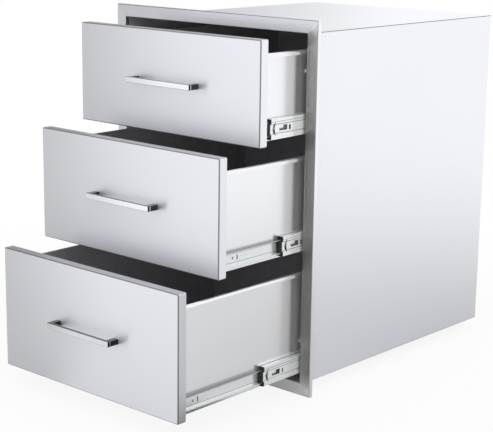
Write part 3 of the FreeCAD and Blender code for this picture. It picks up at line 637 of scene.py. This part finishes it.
def whitened(tree, surface, camera_share, metal_share):
    """A surface that is near white to the rays that show the background and itself to every other ray."""
    glow = add(tree, "ShaderNodeEmission")
    mix = add(tree, "ShaderNodeMixShader")
    join(tree, seen_white(tree, camera_share, metal_share), mix.inputs["Fac"])
    join(tree, surface, mix.inputs[1])
    join(tree, glow.outputs["Emission"], mix.inputs[2])
    return mix.outputs["Shader"]


def distance_from(tree, point):
    """Distance of a surface point from a place in the object's own coordinates."""
    place = add(tree, "ShaderNodeTexCoord")
    reach = add(tree, "ShaderNodeVectorMath", operation="DISTANCE")
    join(tree, place.outputs["Object"], reach.inputs[0])
    reach.inputs[1].default_value = point
    return reach.outputs["Value"]


def show_partly(tree, surface, hold):
    """Ends a material: the surface where hold is 1, and nothing where it is 0."""
    clear = add(tree, "ShaderNodeBsdfTransparent")
    fade = add(tree, "ShaderNodeMixShader")
    join(tree, hold, fade.inputs["Fac"])
    join(tree, clear.outputs["BSDF"], fade.inputs[1])
    join(tree, surface, fade.inputs[2])
    join(tree, fade.outputs["Shader"], tree.nodes["Material Output"].inputs["Surface"])


def matt_grey(name, tone, roughness):
    """A grey material without gloss, and its principled shader."""
    material, shader = new_material(name)
    shader.inputs["Base Color"].default_value = (tone, tone, tone, 1.0)
    shader.inputs["Roughness"].default_value = roughness
    shader.inputs["Specular IOR Level"].default_value = 0.0
    return material, shader


def disc(name, radius, height):
    """A flat round mesh about the floor's middle."""
    corners = [tuple(FLOOR_MIDDLE)]
    for step in range(DISC_STEPS):
        turn = 2 * math.pi * step / DISC_STEPS
        corners.append(tuple(FLOOR_MIDDLE + radius * Vector((math.cos(turn), math.sin(turn), 0.0))))
    faces = [(0, step + 1, (step + 1) % DISC_STEPS + 1) for step in range(DISC_STEPS)]
    mesh = bpy.data.meshes.new(name)
    mesh.from_pydata(corners, [], faces)
    sheet = bpy.data.objects.new(name, mesh)
    sheet.location.z = cad_low.z + height
    bpy.context.scene.collection.objects.link(sheet)
    return sheet


def add_floor():
    """A round pale floor under the object, white but for the object's soft shadow."""
    floor = disc("floor", FLOOR_RADIUS, FLOOR_HEIGHT)
    material, shader = matt_grey("floor_white", FLOOR_TONE, FLOOR_ROUGHNESS)
    tree = material.node_tree
    hold = ramp_between(tree, distance_from(tree, FLOOR_MIDDLE), 1.0, 0.0, FLOOR_FULL_RADIUS, FLOOR_RADIUS)
    show_partly(tree, whitened(tree, shader.outputs["BSDF"], FLOOR_CAMERA_SHARE, FLOOR_METAL_SHARE), hold)
    floor.data.materials.append(material)


def only_reflected(piece):
    """Keeps a studio piece out of every ray but those that polished metal sends out."""
    piece.visible_camera = False
    piece.visible_diffuse = False
    piece.visible_shadow = False
    piece.visible_transmission = False


def add_floor_shade():
    """A grey round cloth on the floor, densest under the object and thinning out to its rim."""
    shade = disc("floor_shade", SHADE_RADIUS, SHADE_HEIGHT)
    shade.location.x, shade.location.y = SHADE_SHIFT
    material, shader = matt_grey("floor_shade_cloth", SHADE_TONE, 1.0)
    tree = material.node_tree
    nearness = ramp_between(tree, distance_from(tree, FLOOR_MIDDLE), 1.0, 0.0, SHADE_NEAR, SHADE_RADIUS)
    density = math_node(tree, "MULTIPLY", math_node(tree, "POWER", nearness, SHADE_FALL), SHADE_DENSEST)
    show_partly(tree, shader.outputs["BSDF"], density)
    shade.data.materials.append(material)
    only_reflected(shade)


def ring_mesh(name, start, end, rings):
    """A strip round the upright axis between two azimuths, through rings of one radius and height each."""
    steps = math.ceil((end - start) / SCREEN_STEP)
    corners = []
    for radius, height in rings:
        for step in range(steps + 1):
            azimuth = start + (end - start) * step / steps
            corners.append((radius * math.sin(azimuth), -radius * math.cos(azimuth), height))
    faces = []
    for ring in range(len(rings) - 1):
        first = ring * (steps + 1)
        for step in range(steps):
            near = first + step
            faces.append((near, near + 1, near + steps + 2, near + steps + 1))
    mesh = bpy.data.meshes.new(name)
    mesh.from_pydata(corners, [], faces)
    return mesh


def add_screen(name, centre, degrees, soft_degrees, near, top, tone, rise=0.0):
    """A grey screen round a centre from one azimuth to another, on the floor and upright behind it.

    Azimuths run from -Y towards +X. It fades in over a soft angle at each side, and over the floor from a
    near radius.
    """
    start, end = (math.radians(value) for value in degrees)
    soft_start, soft_end = (math.radians(value) for value in soft_degrees)
    height = cad_low.z + rise
    mesh = ring_mesh(name, start, end, [(near, height), (SCREEN_RADIUS, height), (SCREEN_RADIUS, top)])
    screen = bpy.data.objects.new(name, mesh)
    screen.location = centre
    bpy.context.scene.collection.objects.link(screen)
    material, shader = matt_grey(name + "_cloth", tone, 1.0)
    tree = material.node_tree
    forward = math_node(tree, "MULTIPLY", place_along(tree, "Y"), -1.0)
    azimuth = math_node(tree, "ARCTAN2", place_along(tree, "X"), forward)
    rising = ramp_between(tree, azimuth, 0.0, 1.0, start, start + soft_start)
    falling = ramp_between(tree, azimuth, 1.0, 0.0, end - soft_end, end)
    reach = distance_from(tree, Vector((0.0, 0.0, height)))
    outward = ramp_between(tree, reach, 0.0, 1.0, near, near + SCREEN_FADE)
    show_partly(tree, shader.outputs["BSDF"], both(tree, both(tree, rising, falling), outward))
    mesh.materials.append(material)
    only_reflected(screen)


add_floor()
add_floor_shade()
# A dark screen in front of the object, on the camera's left, and a grey one on the object's left
add_screen("screen_dark", centre=(0.2, 0.0, 0.0), degrees=(-4.0, 38.0), soft_degrees=(8.0, 8.0),
           near=0.05, top=1.5, tone=0.02, rise=-0.0001)
add_screen("screen_left", centre=(0.2, -0.15, 0.0), degrees=(-150.0, -48.0), soft_degrees=(20.0, 9.0),
           near=0.35, top=2.2, tone=0.38)

# Light
WORLD_LIGHT = 0.85
LAMP_PLACE = Vector((0.4, -0.3, 2.6))
LAMP_TARGET = Vector((0.0, 0.1, 0.3))
LAMP_SIZE = 2.2
LAMP_WATTS = 10.0


def add_world():
    """An even pale surround, white to the camera and in what metal and glass reflect."""
    world = bpy.data.worlds.new("studio")
    bpy.context.scene.world = world
    world.use_nodes = True
    tree = world.node_tree
    background = tree.nodes["Background"]
    background.inputs["Color"].default_value = (1.0, 1.0, 1.0, 1.0)
    join(tree, math_node(tree, "MAXIMUM", seen_white(tree), WORLD_LIGHT), background.inputs["Strength"])


def add_lamp():
    """A large soft lamp above the object."""
    data = bpy.data.lights.new("lamp_above", "AREA")
    data.shape = "RECTANGLE"
    data.size = LAMP_SIZE
    data.size_y = LAMP_SIZE
    data.energy = LAMP_WATTS
    lamp = bpy.data.objects.new("lamp_above", data)
    lamp.location = LAMP_PLACE
    lamp.rotation_euler = (LAMP_TARGET - LAMP_PLACE).to_track_quat("-Z", "Y").to_euler()
    lamp.visible_camera = False
    bpy.context.scene.collection.objects.link(lamp)


add_world()
add_lamp()
